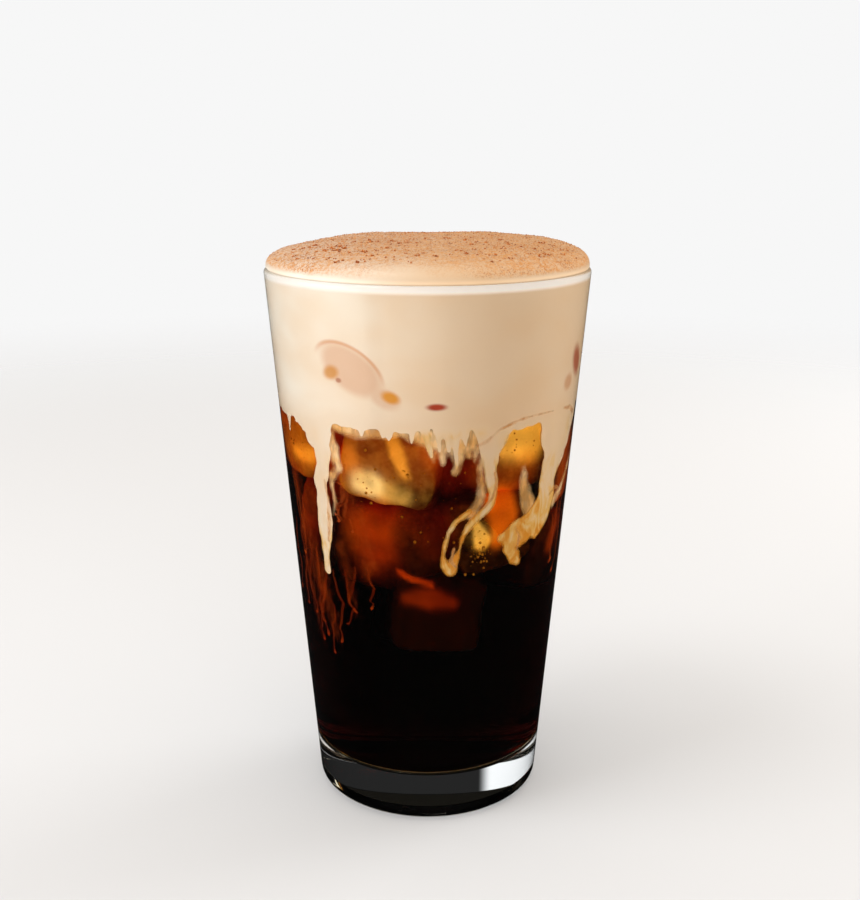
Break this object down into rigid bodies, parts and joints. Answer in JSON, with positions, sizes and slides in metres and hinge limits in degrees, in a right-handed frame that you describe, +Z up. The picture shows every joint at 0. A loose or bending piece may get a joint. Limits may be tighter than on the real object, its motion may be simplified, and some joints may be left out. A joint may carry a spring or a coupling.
{
  "type": "iced coffee",
  "caption": "Tapered clear glass of iced coffee under a deep layer of cream foam that domes over the rim and runs down inside the wall.",
  "frame": {"origin": "centre of the base, on the surface that the glass stands on", "axes": "+Z up along the glass's axis, the front with most of the cream runs faces -Y, +X to the right seen from the front"},
  "size_m": [0.0878, 0.0878, 0.1564],
  "materials": {
    "clear_glass": "polished clear pressed glass",
    "dark_coffee": "clear dark brown drink, amber where thin",
    "cream_foam": "dense smooth cream foam, soft satin",
    "ice": "melting clear ice",
    "spice": "dry ground brown spice"
  },
  "bodies": {
    "root": {"glass": "clear_glass", "coffee": "dark_coffee", "cream_foam": "cream_foam"}
  },
  "joints": []
}
